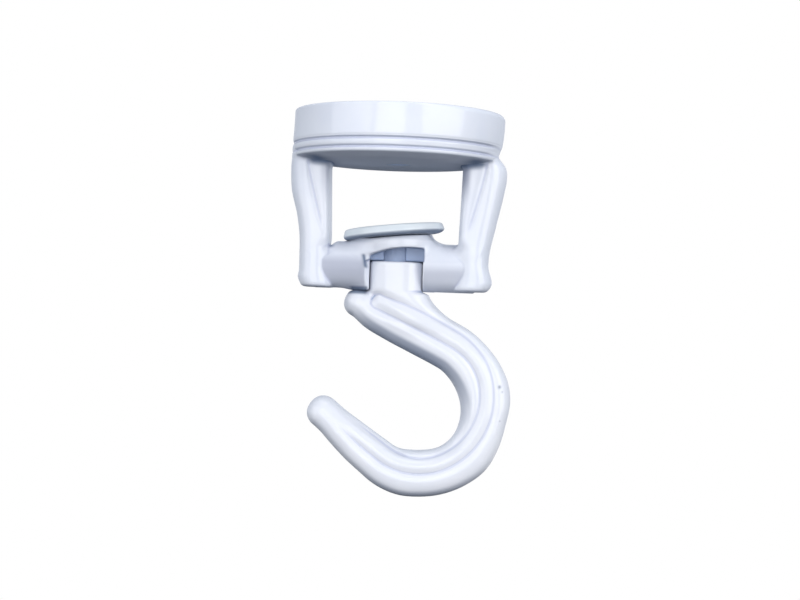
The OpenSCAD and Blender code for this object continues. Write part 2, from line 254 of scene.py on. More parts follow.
def level_skin(field, low, high, step):
    """The surface on which field(x, y, z) is zero, as quads. Each cell of a cubic grid that the
    surface crosses gets one point, the mean of the crossings on the cell's edges, and each
    crossed grid edge a quad through its four cells. The points then slide along the field's
    slope onto the surface: p - field * slope / slope^2."""
    axes = [np.arange(a, b + step, step) for a, b in zip(low, high)]
    value = field(*np.meshgrid(*axes, indexing="ij"))
    inside = value < 0
    size = value.shape

    def corner(array, place):
        return array[tuple(slice(p, n - 1 + p) for p, n in zip(place, size))]

    places = [(i, j, k) for i in (0, 1) for j in (0, 1) for k in (0, 1)]
    filled = sum(corner(inside, p).astype(np.int8) for p in places)
    crossed = (filled > 0) & (filled < 8)
    number = np.full(crossed.shape, -1, np.int64)
    number[crossed] = np.arange(crossed.sum())
    total = np.zeros((crossed.sum(), 3))
    hits = np.zeros(crossed.sum())
    for axis in range(3):
        for near in (p for p in places if p[axis] == 0):
            far = tuple(p + (n == axis) for n, p in enumerate(near))
            a, b = corner(value, near)[crossed], corner(value, far)[crossed]
            hit = (a < 0) != (b < 0)
            spot = np.tile(np.array(near, float), (len(a), 1))
            spot[:, axis] += np.where(hit, a / np.where(hit, a - b, 1.0), 0.0)
            total += spot * hit[:, None]
            hits += hit
    points = (np.argwhere(crossed) + total / hits[:, None]) * step + np.array(low)

    quads = []
    for axis in range(3):
        u, v = (axis + 1) % 3, (axis + 2) % 3
        first = [slice(1, -1)] * 3
        first[axis] = slice(0, -1)
        second = [slice(1, -1)] * 3
        second[axis] = slice(1, None)
        start, end = inside[tuple(first)], inside[tuple(second)]
        place = np.argwhere(start != end)
        place[:, u] += 1
        place[:, v] += 1
        shift = np.zeros((4, 3), int)
        shift[:, u], shift[:, v] = [1, 0, 0, 1], [1, 1, 0, 0]
        ring = np.stack([number[tuple((place - s).T)] for s in shift], 1)
        outward = start[start != end]
        ring[~outward] = ring[~outward, ::-1]
        quads.append(ring)

    for _ in range(4):
        here, slope = field(*points.T), slope_of(field, points)
        move = here[:, None] * slope / np.maximum((slope**2).sum(1), 0.05)[:, None]
        points = points - np.clip(move, -0.4 * step, 0.4 * step)
    return points, [np.concatenate(quads)]


def slope_of(field, points, reach=0.02):
    """The field's slope at each point, from its values a little to both sides along each axis."""
    out = np.empty_like(points)
    for axis in range(3):
        aside = np.zeros(3)
        aside[axis] = reach
        out[:, axis] = (field(*(points + aside).T) - field(*(points - aside).T)) / (2 * reach)
    return out


def hollow_of(field, points, reach=0.3):
    """How hollow the surface is at each point, from 0 to 1: six times the field's value there,
    less its values at six neighbours at the distance reach, over reach."""
    total = -6.0 * field(*points.T)
    for axis in range(3):
        for side in (-reach, reach):
            aside = np.zeros(3)
            aside[axis] = side
            total = total + field(*(points + aside).T)
    return np.clip(-total / reach, 0.0, 1.0)


# Ceiling plate.

def plate_outline():
    """Outer outline of the plate from the top of its rim down and in to the underside: a band
    that draws in with the fourth power of its depth, two soft grooves with a bead between them,
    a rounded lip, and a quarter of a sine wave that leads into the flat underside."""
    rim = bend((PLATE_R - 0.35, -0.35), 0.35, 90, 8, 9)
    band_z = np.linspace(-0.4, GROOVE_1 + 0.62, 24)
    band = np.stack([PLATE_R - (PLATE_R - RIM_R) * (band_z / GROOVE_1) ** 4, band_z], -1)
    z = np.linspace(GROOVE_1 + 0.55, GROOVE_2 - 0.25, 34)
    drawn = np.clip((GROOVE_1 + 0.32 - z) / 2.1, 0.0, 1.0) ** 0.8
    grooves = np.stack([RIM_R - 0.42 * drawn - 0.30 * groove_bell(z), z], -1)
    lip = bend((LIP_R - 0.42, GROOVE_2 - 0.35), 0.56, 10, -66, 12)
    t = np.linspace(0.0, 1.0, 16)[1:]
    belly = np.stack([lip[-1, 0] + (BELLY_R - 2.4 - lip[-1, 0]) * t,
                      lip[-1, 1] - (PLATE_H + lip[-1, 1]) * np.sin(t * np.pi / 2)], -1)
    return np.concatenate([rim, band, grooves, lip, belly])


def groove_bell(z):
    """1 in the middle of each of the plate's two grooves, falling off as a bell curve of the
    distance over GROOVE_W."""
    return np.exp(-((z - GROOVE_1) / GROOVE_W) ** 2) + np.exp(-((z - GROOVE_2) / GROOVE_W) ** 2)


def thread_turn(r, h, a):
    """The wall of the screw hole carries a thread: its radius grows by 0.3 times a triangle
    wave of height / pitch - angle / full turn, and the wave fades at both mouths."""
    wave = np.abs(((h / THREAD_PITCH - a / (2 * np.pi)) % 1.0) - 0.5) * 2.0
    fade = ease((-h - 0.15) / 0.7) * ease((h + PLATE_H - 0.15) / 0.7)
    on_wall = (r < SCREW_R + 0.02).astype(float)
    return r + 0.3 * (1.0 - wave) * fade * on_wall, h


def plate_shift(z):
    """The casting's lower rim stands half a millimetre to the left of its upper rim: the shift
    grows with the power 2.5 of the depth."""
    return -0.5 * np.clip(-z / 6.9, 0.0, 1.0) ** 2.5


def make_plate():
    """The plate is turned from one closed outline: its outside, the threaded screw hole, the boss round
    it, the hollow upper side and the rounded top of the wall. At its right end the grooves are shallower
    and the upper rim is worn. The grooves and the screw hole get painted shade, and the arms' roots stand
    in patches of painted shadow. Returns points, faces and marks."""
    outside = plate_outline()
    under = stretch([BELLY_R - 2.9, -PLATE_H], [SCREW_R + 0.9, -PLATE_H], 22)
    inner_r = PLATE_R - WALL
    floor_z = -HOLLOW_H
    hole = np.stack([np.full(150, SCREW_R), np.linspace(-PLATE_H + 0.4, -0.3, 150)], -1)
    profile = np.concatenate([
        outside,
        under,
        bend((SCREW_R + 0.4, -PLATE_H + 0.4), 0.4, -90, -180, 6),
        hole,
        bend((SCREW_R + 0.3, -0.3), 0.3, 180, 90, 5),
        bend((CENTRE_BOSS_R - 0.5, -0.5), 0.5, 90, 4, 7),
        bend((CENTRE_BOSS_R + 0.9, floor_z + 0.8), 0.8, 180, 268, 8),
        bend((inner_r - 1.0, floor_z + 1.0), 1.0, -88, -2, 9),
        bend((inner_r + 0.3, -0.3), 0.3, 178, 92, 6),
    ])

    def ripple(r, h, a):
        r, h = thread_turn(r, h, a)
        wave = 0.03 * np.sin(3 * a + 0.8) + 0.015 * np.sin(7 * a + h * 0.4) - 0.046
        filled = 0.28 * groove_bell(h) * ease((np.cos(a) - 0.86) / 0.12)
        worn = 0.35 * ease((h + 0.8) / 0.8) * ease((np.cos(a) - 0.2) / 0.7)
        return r + wave * (r > 12) + (filled - worn) * (r > 17), h

    points, faces = turned(profile, PLATE_STEPS, ripple)
    from_axis = np.hypot(points[:, 0], points[:, 1])
    points[:, 0] += plate_shift(points[:, 2]) * ease((from_axis - 6.0) / 6.0)
    x, y, z = points.T
    radius = np.hypot(x, y)
    # Painted shade in the two grooves, half as strong at the right end, and in the screw hole.
    groove = 0.8 * groove_bell(z) * (1.0 - 0.5 * ease((x - 15.0) / 2.5))
    hollow_shade = np.where(radius > 17, groove, radius < SCREW_R + 0.5)
    # Painted shadow on the underside where the arms' roots meet it.
    beside = np.exp(-((np.abs(x) - 14.0) / 2.3) ** 2)
    roots = beside * ease((13.0 - np.abs(y)) / 5.0) * ease((-8.3 - z) / 0.5)
    return points, faces, {"hollow_shade": hollow_shade, "dark": 0.88 * roots}


TABLE_STEP = 0.05


def plate_table():
    """Distance to the plate's outer outline on a fine table of radius and height, below zero
    inside. Each entry is the least distance to the outline's stretches. Returns the table's
    first radius and height, and the table."""
    line = plate_outline()
    line = np.concatenate([line, [[0.0, -PLATE_H]]])
    rs, zs = np.arange(8.0, 22.0, TABLE_STEP), np.arange(-13.0, -3.0, TABLE_STEP)
    r, z = np.meshgrid(rs, zs, indexing="ij")
    best = np.full(r.shape, 1e9)
    for (r0, z0), (r1, z1) in zip(line[:-1], line[1:]):
        dr, dz = r1 - r0, z1 - z0
        t = np.clip(((r - r0) * dr + (z - z0) * dz) / max(dr * dr + dz * dz, 1e-12), 0, 1)
        best = np.minimum(best, np.hypot(r - r0 - t * dr, z - z0 - t * dz))
    edge = np.interp(zs, line[::-1, 1], line[::-1, 0])
    within = (r < edge[None, :]) & (z > -PLATE_H)
    return rs[0], zs[0], np.where(within, -best, best)


TABLE_R0, TABLE_Z0, PLATE_TABLE = plate_table()


def plate_field(x, y, z):
    """Distance to the plate's outside, read from the table between its four nearest entries."""
    radius = np.hypot(x - plate_shift(z), y)
    r = np.clip((radius - TABLE_R0) / TABLE_STEP, 0, PLATE_TABLE.shape[0] - 1.001)
    h = np.clip((z - TABLE_Z0) / TABLE_STEP, 0, PLATE_TABLE.shape[1] - 1.001)
    i, j = r.astype(int), h.astype(int)
    fr, fh = r - i, h - j
    return ((PLATE_TABLE[i, j] * (1 - fr) + PLATE_TABLE[i + 1, j] * fr) * (1 - fh)
            + (PLATE_TABLE[i, j + 1] * (1 - fr) + PLATE_TABLE[i + 1, j + 1] * fr) * fh)


# Stirrup.

# The arms' outer and inner outlines, depth and crease, as [height, distance] pairs.
outer_right = smooth_line([[-32.5, 16.8], [-31.4, 17.05], [-30.2, 17.54], [-29.2, 17.42], [-28.2, 17.08],
                           [-27.2, 16.86], [-26.0, 16.84], [-24.5, 16.98], [-23.2, 17.22], [-21.8, 17.52],
                           [-20.4, 17.84], [-19.0, 18.13], [-17.5, 18.47], [-16.0, 18.8], [-14.5, 19.1],
                           [-13.2, 19.34], [-12.3, 19.52], [-11.2, 19.62], [-10.3, 19.62], [-9.5, 19.46],
                           [-8.8, 19.1], [-8.1, 18.5], [-7.6, 17.95], [-6.5, 16.9]])
outer_left = smooth_line([[-32.5, 16.7], [-31.1, 17.05], [-30.0, 17.44], [-28.8, 17.3], [-27.2, 17.28],
                          [-25.5, 17.31], [-24.0, 17.33], [-21.9, 17.46], [-20.2, 17.71], [-18.5, 18.02],
                          [-16.5, 18.56], [-14.7, 19.02], [-13.2, 19.21], [-12.0, 19.28], [-10.7, 19.32],
                          [-9.5, 19.3], [-8.6, 19.18], [-7.0, 18.9], [-6.0, 18.6], [-5.5, 18.2]])
inner_right = smooth_line([[-33.0, 11.25], [-24.0, 11.28], [-21.0, 11.36], [-12.0, 11.62], [-6.0, 11.75]])
inner_left = smooth_line([[-33.0, 11.72], [-24.0, 11.76], [-21.0, 11.84], [-12.0, 12.14], [-6.0, 12.3]])
arm_half_depth = smooth_line([[-32.0, 4.45], [-29.0, 4.6], [-24.0, 4.55], [-18.0, 4.75], [-13.0, 5.0],
                              [-6.0, 5.0]])
crease_x = smooth_line([[-24.0, 12.3], [-21.6, 12.9], [-16.3, 14.3], [-11.9, 15.4], [-9.5, 15.9]])


def arm_field(x, y, z):
    """The two arms: at each height a rounded shape between the straight edge of the window,
    where its corners are tight, and the waved outer edge, where it is oval. The inner edge
    steps in under the crossbar to form the toe, and a crease runs down the front and back
    faces towards the window."""
    right = x > 0
    out = np.where(right, outer_right(z), outer_left(z))
    toe = 0.75 * ease((BAR_Z - 0.5 - z) / 3.6)
    inner = np.where(right, inner_right(z), inner_left(z)) - toe
    half = (out - inner) / 2
    off = np.abs(x) - (out + inner) / 2
    deep = arm_half_depth(z)
    power = 2.5 + 3.5 * ease((0.6 - off) / 1.6) * ease((z + 24.6) / 3.0)
    side = oval(off, y, half, deep, power)
    line = np.abs(x) - crease_x(z)
    fade = ease((z - BAR_Z - 4.0) / 5.0)
    face = ease((np.abs(y) / deep - 0.45) / 0.3)
    crease = fade * face * (0.14 * np.exp(-(line / 0.38) ** 2) + 0.16 * np.exp(-(line / 1.2) ** 2))
    foot = BAR_Z - BAR_R + 0.1 - z
    return soft_max(side + crease, foot, 1.0)


def crossbar_field(x, y, z):
    """The round crossbar, a cylinder along X between the arms. Its top is rounded off towards
    the left arm and swells towards the boss on the right, where its underside swells too."""
    top = ease((z - BAR_Z - 1.0) / 3.2)
    radius = BAR_R - 0.9 * top * np.clip((-x - 10.2) / 1.4, 0.0, 1.2) ** 2
    low = ease((BAR_Z - 1.5 - z) / 2.5)
    radius = radius + 0.22 * low * ease((x - 3.5) / 3.0)
    radius = radius + 0.6 * top * ease((9.2 - x) / 2.6) * ease((x - 3.0) / 2.0)
    tube = np.hypot(y, z - BAR_Z) - radius
    return np.maximum(tube, np.abs(x) - BAR_END)


def boss_field(x, y, z):
    """The boss over the pocket: a drum that narrows below the seat like a bowl, with a leaning
    flat top. Behind the axis it keeps its full width down to the crossbar's underside."""
    r = np.hypot(x, y)
    narrow = BOSS_R - 0.3 * ease((SEAT_Z - 1.0 - z) / 2.0) - 1.3 * ease((SEAT_Z - 2.7 - z) / 1.6)
    front = r - narrow + 0.55 * np.clip((z + 22.8) / 0.95, 0.0, 1.0)
    rear = np.hypot(x, np.maximum(y, 0)) - BOSS_R + np.maximum(-y, 0) * 0.9
    body = soft_min(front, np.maximum(rear, -y * 0.9), 0.6)
    lean = math.radians(SEAT_LEAN)
    top = (z - SEAT_Z) * math.cos(lean) - x * math.sin(lean)
    low = BAR_Z - BAR_R + 0.3 - z
    return np.maximum(soft_max(body, top, 0.4), low)


def pocket_field(x, y, z):
    """The pocket for the hook's neck: a slot open to the front and below with a round back,
    under a low arch whose crown stands to the right of the axis. Its left wall stands nearer
    to the axis over the neck and closes round it beside it. A ledge over most of the neck
    leaves a shallow recess there, out of which the pin's front stands."""
    beside = ease((-26.35 - z) / 0.5)
    round_in = POCKET_R - np.sqrt(POCKET_R**2 - np.clip(-y, 0.0, 2.6) ** 2)
    round_in = round_in * (1.0 - ease((-y - 2.6) / 1.7))
    left = LEFT_WALL + (0.82 - round_in) * beside
    right = RIGHT_WALL - 0.13 * beside
    off = x - (right - left) / 2
    walls = np.where(y > 0, np.hypot(off, y), np.abs(off)) - (right + left) / 2
    arch = np.hypot(x - ROOF_SHIFT, z - (ROOF_Z - ROOF_R)) - ROOF_R
    ledge = soft_min(y + LEDGE_Y, z - LEDGE_Z, 0.3)
    return soft_max(soft_max(walls, arch, 0.4), ledge, 0.2)


def stirrup_field(x, y, z):
    """The stirrup casting: crossbar and boss joined by a wide fillet and cut almost level below,
    the arms joined to them and to the plate by narrower fillets, less the pocket and the hole
    for the pin. What would lie deeper than ROOT_DEPTH in the plate, or further than 3 mm from
    the arms there, is left out."""
    bar = crossbar_field(x, y, z)
    boss = boss_field(x, y, z)
    reach = 1.3 + 1.9 * ease((-x - 1.0) / 5.0)
    floor = UNDERSIDE_Z - 0.27 * ease((x + 10.0) / 1.8) - z
    middle = soft_max(soft_min(bar, boss, reach), floor, 0.4)
    arms = arm_field(x, y, z)
    above = ease((z - BAR_Z - 0.5) / 2.5) * ease((np.abs(y) - 1.2) / 2.0)
    body = soft_min(middle, arms, 0.35 + 1.5 * above)
    body = soft_max(body, -pocket_field(x, y, z), np.where(x > 0, 0.2, 0.4))
    hole = np.hypot(x, y) - PIN_HOLE_R
    body = np.where(np.abs(x) < 8, soft_max(body, -hole, 0.06), body)
    plate = plate_field(x, y, z)
    joined = soft_min(body, plate + 0.12, 1.1)
    joined = np.maximum(np.maximum(joined, -plate - ROOT_DEPTH), arms - 3.0)
    return np.where(z > JOIN_Z, np.maximum(joined, z - ROOT_TOP), body)


def barrel_share(points):
    """How grey a point is, and how much painted shade it has: the barrels left and right of the pocket,
    where the crossbar stands proud of the arm, are a greyer enamel that darkens downwards as painted
    shade; the recess over the neck gets some painted shade; and the arms' inner edges right under the
    plate get painted shadow."""
    x, y, z = points.T
    right = x > 0
    proud = arm_field(x, y, z) - crossbar_field(x, y, z)
    proud = ease((proud + np.where(right, 0.12, -0.02)) / 0.25)
    beside = ease((np.abs(x - 0.1) - 5.15) / 0.3)
    left_share = 0.85 * ease((-25.2 - z) / 2.2) - 0.25 * ease((-28.5 - z) / 2.5)
    right_share = 0.55 * ease((-26.0 - z) / 2.5) - 0.1 * ease((-29.0 - z) / 2.0)
    barrels = proud * beside * np.where(right, right_share, left_share)
    edge = np.where(right, inner_right(z), inner_left(z))
    edges = ease((z + 17.0) / 6.0) * ease((edge + 1.9 - np.abs(x)) / 1.2) * np.where(right, 1.0, 0.3)
    return np.max([barrels, 0.5 * inside_share(points), edges], axis=0)


def inside_share(points):
    """1 on the walls of the recess over the neck, falling to 0 on its front edge: the share of painted
    shade in the recess.
    """
    x, y, z = points.T
    on_wall = ease((0.25 - np.abs(pocket_field(x, y, z))) / 0.15)
    return on_wall * ease((y + 5.0) / 1.3) * ease((z + 26.9) / 0.3)


def shadow_and_crack_share(points):
    """How dark a point is: painted shadow on the arms right under the plate and on the crossbar's edge
    over the heel, and a dark crack beside the pocket."""
    x, y, z = points.T
    near = ease((1.35 - plate_field(x, y, z)) / 1.2) * ease((-8.6 - z) / 0.5)
    root = near * ease((16.7 - np.abs(x)) / 1.8)
    nook = ease((-31.1 - z) / 0.5) * ease((x + 8.2) / 0.8) * ease((-4.4 - x) / 0.5)
    middle = -5.45 + 0.22 * (-25.9 - z)
    crack = np.exp(-((x - middle) / 0.33) ** 2) * (y < -2.0)
    crack = crack * ease((-25.4 - z) / 0.5) * ease((z + 28.3) / 0.6)
    return np.max([0.85 * root, 0.8 * nook, 0.9 * crack], axis=0)


def make_stirrup():
    """The stirrup's points, faces and marks."""
    points, faces = level_skin(stirrup_field, (-21.0, -8.5, -33.0), (21.0, 8.5, -5.4), CELL)
    # Painted shade in the stirrup's hollows and on the walls of the recess over the neck.
    hollow_shade = np.maximum(hollow_of(stirrup_field, points), inside_share(points))
    marks = {"hollow_shade": hollow_shade, "grey_and_shade": barrel_share(points), "dark": shadow_and_crack_share(points)}
    return points, faces, marks


# Hook.

# The middle line's arc, in degrees clockwise from +X.
ARC_FROM = SHANK_SLOPE - 90.0
ARC_TO = 90.0 + TIP_SLOPE
ARC_LEN = BOWL_R * math.radians(ARC_TO - ARC_FROM)

# The bar's widths on both sides of its middle line, its half depth, and the edges of the middle
# rib, as [distance from the heel, size] pairs.
inner_half = smooth_line([[-3.0, 2.9], [0.0, 3.25], [2.6, 3.95], [7.0, 4.28], [12.0, 4.33], [17.7, 4.4],
                          [22.2, 4.75], [27.0, 4.85], [31.0, 4.65], [35.7, 4.3], [39.9, 3.9], [44.5, 3.7],
                          [49.6, 3.85], [52.0, 3.75], [55.4, 3.3], [59.5, 3.2], [64.5, 3.15],
                          [68.0, 3.15], [70.6, 3.35], [75.0, 3.35]])
outer_half = smooth_line([[-3.0, 2.0], [0.0, 2.1], [5.0, 3.4], [10.0, 4.2], [13.8, 4.4], [18.6, 4.3],
                          [22.4, 4.15], [25.8, 4.3], [28.3, 4.45], [30.6, 4.35], [33.7, 3.9],
                          [37.5, 4.2], [40.2, 4.6], [43.8, 4.55], [47.2, 4.5], [50.1, 4.5],
                          [52.7, 4.65], [55.4, 4.55], [59.0, 4.25], [62.8, 3.9], [66.5, 3.25],
                          [69.0, 2.7], [70.6, 2.5], [75.0, 2.5]])
bar_half_depth = smooth_line([[-3.0, 2.6], [0.0, 2.9], [3.5, 3.4], [8.0, 3.65], [30.0, 3.7], [50.0, 3.65],
                              [60.0, 3.4], [66.0, 3.1], [70.6, 3.0], [75.0, 3.0]])
outer_groove = smooth_line([[0.0, 2.3], [5.0, 2.7], [8.0, 3.05], [13.4, 3.2], [17.0, 3.05],
                            [20.7, 2.75], [23.5, 2.45], [26.4, 2.0], [29.3, 1.5], [33.0, 1.0],
                            [37.2, 0.55], [41.4, 0.3], [46.2, 0.2], [53.6, 0.25], [58.0, 0.3],
                            [61.7, 0.15], [65.6, -0.3], [68.5, -0.8]])
inner_groove = smooth_line([[0.0, -0.1], [5.0, 0.0], [11.7, 0.08], [16.0, 0.1], [19.4, 0.0], [23.4, -0.2],
                            [26.7, -0.6], [30.9, -1.25], [35.4, -1.9], [39.8, -2.3], [45.0, -2.5],
                            [49.5, -2.5], [54.0, -2.6], [58.8, -2.65], [62.4, -2.7], [68.5, -2.85]])

# How much painted shade darkens the flanks of the bar, along it: the one inside the bend, and the outer
# one.
inner_flank = smooth_line([[0.0, 0.3], [3.0, 0.8], [8.0, 1.0], [20.0, 1.0], [25.0, 0.85], [30.0, 0.5],
                           [35.0, 0.2], [39.0, 0.0], [75.0, 0.0]])
outer_flank = smooth_line([[0.0, 0.0], [37.0, 0.0], [43.0, 0.35], [48.0, 0.65], [56.0, 0.65],
                           [61.0, 0.4], [66.0, 0.35], [75.0, 0.3]])


def along_hook(x, z):
    """Where a point of the hook's plane lies on its middle line: the distance s from the heel
    and the distance u to the outer side. The line is a straight shank, one arc and a straight
    arm, and the nearest of the three is taken."""
    def bowl(a):
        a = math.radians(a)
        return BOWL_X + BOWL_R * math.cos(a), BOWL_Z - BOWL_R * math.sin(a)

    sh, tp = math.radians(SHANK_SLOPE), math.radians(TIP_SLOPE)
    x0, z0 = bowl(ARC_FROM)
    t0 = (x - x0) * math.cos(sh) - (z - z0) * math.sin(sh)
    u0 = (x - x0) * math.sin(sh) + (z - z0) * math.cos(sh)
    d0 = np.hypot(np.maximum(t0, 0), u0)
    angle = np.degrees(np.arctan2(-(z - BOWL_Z), x - BOWL_X))
    angle = np.where(angle < -145.0, angle + 360.0, angle)
    held = np.clip(angle, ARC_FROM, ARC_TO)
    u1 = np.hypot(x - BOWL_X, z - BOWL_Z) - BOWL_R
    gap = np.radians(np.abs(angle - held)) * BOWL_R
    d1 = np.hypot(u1, gap)
    x2, z2 = bowl(ARC_TO)
    t2 = -(x - x2) * math.cos(tp) + (z - z2) * math.sin(tp)
    u2 = -(x - x2) * math.sin(tp) - (z - z2) * math.cos(tp)
    d2 = np.hypot(np.minimum(t2, 0), u2)
    s1 = SHANK_LEN + BOWL_R * np.radians(held - ARC_FROM)
    first, last = (d0 <= d1) & (d0 <= d2), (d2 < d1) & (d2 < d0)
    s = np.where(first, SHANK_LEN + t0, np.where(last, SHANK_LEN + ARC_LEN + t2, s1))
    u = np.where(first, u0, np.where(last, u2, u1))
    return s, u


def bar_field(x, y, z, s, u):
    """The bar of the hook: an oval carried along the middle line, with its own inner and outer
    half-widths, closed by half an oval at the heel and at the tip."""
    held = np.clip(s, 0.0, HOOK_END)
    w_in, w_out = inner_half(held), outer_half(held)
    half, middle = (w_in + w_out) / 2, (w_out - w_in) / 2
    deep = bar_half_depth(held)
    across = u - middle
    past = np.maximum(s - HOOK_END, 0.0) + np.maximum(-s, 0.0)
    cap = np.where(s > 30, TIP_CAP, HEEL_CAP)
    power = 2.25 + 0.5 * ease((s - 3.0) / 8.0) * ease((HOOK_END - 4.0 - s) / 8.0)
    share = np.abs(across / half) ** power + np.abs(y / deep) ** power + np.abs(past / cap) ** power
    share = np.maximum(share ** (1 / power), 1e-6)
    return np.sqrt(across**2 + y**2 + past**2) * (1.0 - 1.0 / share)


def groove_distance(s, u):
    """Distance to the edge of the middle rib, which is a strip with a round nose."""
    top, low = outer_groove(s), inner_groove(s)
    return np.hypot(np.maximum(3.0 - s, 0.0), u - (top + low) / 2) - (top - low) / 2


def rib_cut(y, s, u):
    """Depth of the two grooves that part the three ribs. Across the distance e to the edge of
    the middle rib the cut is a power of 1 - e / RIB_REACH, so that the metal between two
    grooves bulges and the grooves stay narrow."""
    edge = groove_distance(s, u)
    face = ease((np.abs(y) - 0.8) / 1.4)
    fade = ease((69.5 - s) / 8.0) * ease((s - 0.4) / 1.6)
    away = np.sqrt(edge**2 + 0.12**2)
    return face * fade * RIB_CUT * np.clip(1.0 - away / RIB_REACH, 0.0, 1.0) ** 1.8


def neck_field(x, y, z):
    """The neck: a rounded oval where it turns in the pocket, less deep than wide by NECK_FLAT in
    front and behind, and NECK_X off the axis. It widens under the stirrup, and gets flatter
    still and runs further to the right as it sinks into the bar."""
    t = ease((-32.0 - z) / 5.0)
    lip = ease((-31.9 - z) / 0.7)
    half_w, half_d = NECK_R + 0.5 * lip + 0.1 * t, NECK_R - NECK_FLAT - 0.55 * t
    side = oval(x - NECK_X - 0.6 * lip - 1.5 * t, y, half_w, half_d, 2.8)
    body = soft_max(side, z - NECK_TOP, 0.5)
    return soft_max(body, NECK_LOW - z, 2.0)


def hook_field(x, y, z):
    """The hook casting: the bar, cut level under the stirrup, joined to the neck by a fillet
    that is narrow over the heel and wide on the right, less the grooves between the ribs."""
    s, u = along_hook(x, z)
    bar = soft_max(bar_field(x, y, z, s, u), z - CUT_Z, 0.5)
    reach = 0.9 + 2.2 * ease((x + 2.5) / 6.0)
    return soft_min(bar, neck_field(x, y, z), reach) + rib_cut(y, s, u)


def make_hook():
    """The hook's points, faces and marks. The grooves and hollows get painted shade, the shoulder under
    the stirrup gets painted shadow, the bar's flanks get painted shade, and the heel's inner end is
    darker."""
    points, faces = level_skin(hook_field, (-17.0, -5.4, -69.9), (23.0, 5.4, -26.0), CELL)
    x, y, z = points.T
    s, u = along_hook(x, z)
    # A narrow line of painted shade along each groove, added to the painted shade of the hollows.
    line = np.exp(-(groove_distance(s, u) / 0.27) ** 2) * ease((np.abs(y) - 1.2) / 0.8)
    line = line * ease((68.0 - s) / 8.0) * ease((s - 2.5) / 3.0) * ease((-32.6 - z) / 1.2)
    # Painted shadow on the shoulder under the stirrup, and painted shade on the bar's flanks.
    shoulder = ease((z + 33.0) / 0.6) * ease((-x - 4.6) / 0.5)
    flank = (inner_flank(s) * ease((2.35 - inner_half(s) - u) / 0.9)
             + outer_flank(s) * ease((1.5 - outer_half(s) + u) / 0.9))
    heel = 0.5 * ease((1.3 - s) / 2.0) * ease((-3.0 - u) / 2.0 + 1.0)
    dark = np.max([0.85 * shoulder, 0.62 * flank, 0.7 * heel], axis=0)
    hollow_shade = np.maximum(hollow_of(hook_field, points, 0.35), 0.5 * line)
    return points, faces, {"hollow_shade": hollow_shade, "dark": dark}


# Washer and pin.

def lean_over(points, centre_z, degrees):
    """Turns points about the Y axis through [0, 0, centre_z], so that the right side rises."""
    a = math.radians(degrees)
    x, y, z = points.T
    height = centre_z + x * math.sin(a) + z * math.cos(a)
    return np.stack([x * math.cos(a) - z * math.sin(a), y, height], -1)


def make_washer():
    """The washer: a flat ring with a rounded rim that widens downwards and a countersunk bore, turned
    about its own axis and then leaned over, with a slow wave of a few hundredths round its rim. Its lower
    edge is darkened with painted shade, and worn round on the right. It lies off centre on its pin by its
    play. Returns points, faces and marks."""
    half = WASHER_T / 2
    profile = np.concatenate([
        stretch([SINK_R + 0.35, half], [WASHER_R - 0.95, half], 8),
        bend((WASHER_R - 0.72, half - 0.5), 0.5, 84, 12, 9),
        bend((WASHER_R - 0.62, -half + 0.62), 0.62, 6, -84, 12),
        stretch([WASHER_R - 0.85, -half], [WASHER_BORE_R + 0.35, -half], 10),
        bend((WASHER_BORE_R + 0.15, -half + 0.15), 0.15, -90, -180, 4),
        [[WASHER_BORE_R, half - SINK_DEPTH - 0.05]],
        [[WASHER_BORE_R + 0.04, half - SINK_DEPTH + 0.06]],
        [[SINK_R - 0.08, half - 0.08]],
        [[SINK_R + 0.1, half - 0.01]],
    ])

    def ripple(r, h, a):
        worn = 0.45 * ease((np.cos(a) - 0.1) / 0.7) * np.clip((-h - 0.05) / 0.8, 0.0, 1.0) ** 2
        return r + (0.04 * np.sin(2 * a + 1.0) - worn) * (r > 6), h + 0.03 * np.sin(2 * a) * (r > 6)

    points, faces = turned(profile, WASHER_STEPS, ripple)
    on_rim = np.hypot(points[:, 0], points[:, 1]) > 7.0
    # Painted shade along the lower edge of the rim.
    dark = 0.7 * ease((0.72 - half - points[:, 2]) / 0.4) * on_rim
    points = lean_over(points, WASHER_MID, WASHER_LEAN) + [WASHER_X, 0.0, 0.0]
    return points, faces, {"dark": dark}


def make_pin():
    """The pin: a countersunk head, slightly domed and dimpled where it was struck, a round
    body, and a collar at its root."""
    top = HEAD_TOP
    r = np.linspace(0.2, PIN_HEAD_R - 0.25, 16)
    dome = np.stack([r, top - 0.16 * (r / PIN_HEAD_R) ** 2 - 0.22 * np.exp(-(r / 0.9) ** 2)], -1)
    profile = np.concatenate([
        dome,
        bend((PIN_HEAD_R - 0.14, top - 0.27), 0.12, 80, -40, 6),
        [[PIN_R + 0.08, top - PIN_HEAD_H + 0.05], [PIN_R, top - PIN_HEAD_H - 0.1]],
        stretch([PIN_R, top - PIN_HEAD_H - 0.2], [PIN_R, PIN_LOW + 1.35], 24),
        [[PIN_R + 0.8, PIN_LOW + 1.2], [PIN_R + COLLAR_OUT, PIN_LOW + 1.1],
         [PIN_R + COLLAR_OUT, PIN_LOW + 0.1], [PIN_R + 0.8, PIN_LOW + 0.02]],
    ])
    return turned(profile, PIN_STEPS, poles=(top - 0.22, PIN_LOW + 0.02))


# Materials.

